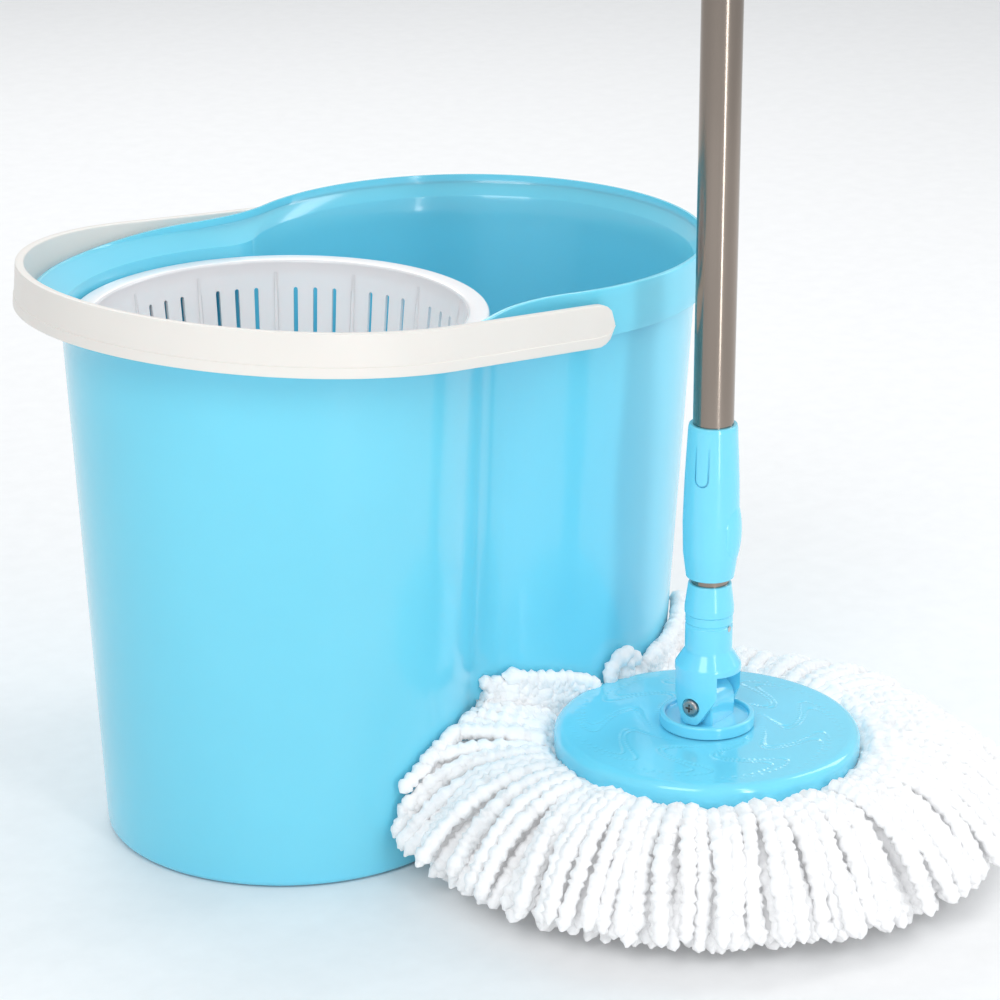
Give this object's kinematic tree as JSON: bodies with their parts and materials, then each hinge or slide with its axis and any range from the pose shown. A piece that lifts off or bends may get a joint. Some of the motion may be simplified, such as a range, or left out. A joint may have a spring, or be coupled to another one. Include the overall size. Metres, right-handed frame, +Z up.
{
  "type": "spin mop set",
  "caption": "Oval twin-lobe bucket with a slotted spin-dry basket and swing bail, and a telescopic twist-drive mop with a round yarn head on a tilting yoke.",
  "frame": {"origin": "on the floor plane under the basket's spindle axis, on the bucket's flat base", "axes": "+X along the bucket from the basket lobe to the wash lobe, +Z up along the basket's spindle; the mop stands on the -Y side"},
  "size_m": [0.4174, 0.4894, 1.112],
  "materials": {
    "bucket_shell": "gloss",
    "basket_white": "gloss",
    "bail_white": "satin",
    "mop_plastic": "gloss",
    "ring_white": "satin",
    "nylon": "satin",
    "steel": "brushed",
    "screw_steel": "machined",
    "tube_steel": "brushed",
    "yarn_white": "chenille pile",
    "grip_plastic": "satin"
  },
  "bodies": {
    "bucket": {"bucket_body": "bucket_shell", "spindle_tower": "bucket_shell", "spindle_pin": "steel", "spindle_washer": "steel", "spindle_clip": "steel", "tower_screws": "screw_steel"},
    "basket": {"basket": "basket_white", "basket_bush": "nylon", "basket_cap": "basket_white"},
    "bail": {"bail_handle": "bail_white", "bail_clips": "nylon"},
    "swivel": {"swivel_base": "mop_plastic", "base_washer": "steel", "base_screw": "screw_steel", "pivot_bush": "steel"},
    "mop_head": {"mop_disc": "mop_plastic", "refill_ring": "ring_white", "mop_yarn": "yarn_white"},
    "yoke": {"yoke": "mop_plastic", "pivot_screw": "screw_steel", "pivot_nut": "screw_steel", "yoke_rivet": "steel", "yoke_collar": "mop_plastic", "inner_tube": "tube_steel", "drive_nut": "nylon", "nut_clip": "steel"},
    "guide": {"guide_bush": "nylon"},
    "pole": {"outer_tube": "tube_steel", "upper_tube": "tube_steel", "tube_coupler": "nylon", "twisted_rod": "steel", "rod_stop": "steel", "lock_bush": "nylon", "grip": "grip_plastic", "grip_cap": "grip_plastic"},
    "sleeve": {"lock_sleeve": "mop_plastic"}
  },
  "joints": [
    {"name": "basket_spin", "type": "hinge", "parent": "bucket", "child": "basket", "pos_m": [0, 0, 0.152], "axis": [0, 0, 1], "continuous": true},
    {"name": "bail_swing", "type": "hinge", "parent": "bucket", "child": "bail", "pos_m": [0.1, 0, 0.2865], "axis": [0, 1, 0], "range_deg": [0, 105]},
    {"name": "mop_lift", "type": "slide", "parent": "bucket", "child": "swivel", "axis": [0, -0.28, 0.96], "range_m": [0, 0.3], "deforming": ["mop_yarn"]},
    {"name": "head_spin", "type": "hinge", "parent": "swivel", "child": "mop_head", "pos_m": [0.124, -0.196, 0.07], "axis": [0, 0, 1], "continuous": true},
    {"name": "head_tilt", "type": "hinge", "parent": "swivel", "child": "yoke", "pos_m": [0.124, -0.196, 0.0905], "axis": [0.9781, 0.2079, 0], "range_deg": [-5, 60]},
    {"name": "drive_turn", "type": "hinge", "parent": "yoke", "child": "guide", "pos_m": [0.124, -0.196, 0.4], "axis": [0, 0, 1], "continuous": true},
    {"name": "pole_extend", "type": "slide", "parent": "guide", "child": "pole", "axis": [0, 0, 1], "range_m": [0, 0.18]},
    {"name": "sleeve_twist", "type": "hinge", "parent": "pole", "child": "sleeve", "pos_m": [0.124, -0.196, 0.2], "axis": [0, 0, 1], "range_deg": [0, 90]}
  ],
  "couplings": [
    {"joint": "drive_turn", "follows": "pole_extend", "rad_per_m": 104.72}
  ]
}
